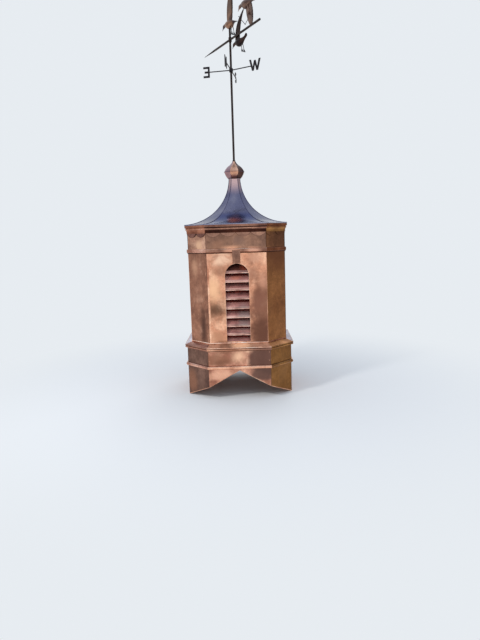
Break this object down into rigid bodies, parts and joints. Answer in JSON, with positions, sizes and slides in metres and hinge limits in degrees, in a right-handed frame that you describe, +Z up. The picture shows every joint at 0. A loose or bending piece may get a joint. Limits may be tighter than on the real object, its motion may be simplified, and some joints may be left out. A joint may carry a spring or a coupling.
{
  "type": "garage cupola with weather vane",
  "caption": "Octagonal copper roof cupola with arched louvered openings, saddle-cut base, bell roof, finial, direction letters and a turning goose weather vane.",
  "frame": {"origin": "on the cupola's axis, level with the feet of its two side walls", "axes": "+Z up along the mast, front face towards -Y, +X to the right seen from the front"},
  "size_m": [1.432, 1.432, 5.1169],
  "materials": {
    "copper_base": "bright rolled copper sheet, dappled, with darker folds",
    "copper_shaft": "bright rolled copper sheet, dappled, with darker folds",
    "copper_louver": "shaded copper sheet",
    "copper_moulding": "bright formed copper mouldings",
    "copper_roof": "smooth copper sheet that mirrors the sky",
    "copper_finial": "polished spun copper",
    "bronze_mast": "dark brown bronze patina",
    "copper_goose": "weathered brown copper"
  },
  "bodies": {
    "cupola": {"base_wall_front": "copper_base", "base_wall_back": "copper_base", "base_wall_left": "copper_base", "base_wall_right": "copper_base", "base_corner_panels": "copper_base", "base_bead": "copper_moulding", "base_crown": "copper_moulding", "base_ledge": "copper_moulding", "foot_bead": "copper_moulding", "shaft_wall_front": "copper_shaft", "shaft_wall_back": "copper_shaft", "shaft_wall_left": "copper_shaft", "shaft_wall_right": "copper_shaft", "shaft_corner_panels": "copper_shaft", "louvers_front": "copper_louver", "louvers_back": "copper_louver", "louvers_left": "copper_louver", "louvers_right": "copper_louver", "keystones": "copper_moulding", "belt_moulding": "copper_moulding", "frieze": "copper_moulding", "scallop_trim": "copper_moulding", "cornice_bed": "copper_moulding", "cornice_crown": "copper_moulding", "roof_front": "copper_roof", "roof_back": "copper_roof", "roof_left": "copper_roof", "roof_right": "copper_roof", "roof_corner_gores": "copper_roof", "finial_lower": "copper_finial", "finial_upper": "copper_finial", "mast": "bronze_mast", "direction_arms": "bronze_mast", "letter_north": "bronze_mast", "letter_east": "bronze_mast", "letter_south": "bronze_mast", "letter_west": "bronze_mast"},
    "vane": {"vane_sleeve": "bronze_mast", "arrow_shaft": "bronze_mast", "arrow_point": "bronze_mast", "goose_lead": "copper_goose", "goose_low": "copper_goose", "goose_trailing": "copper_goose"}
  },
  "joints": [
    {"name": "vane_spin", "type": "hinge", "parent": "cupola", "child": "vane", "pos_m": [0, 0, 4.6], "axis": [0, 0, 1], "continuous": true}
  ]
}
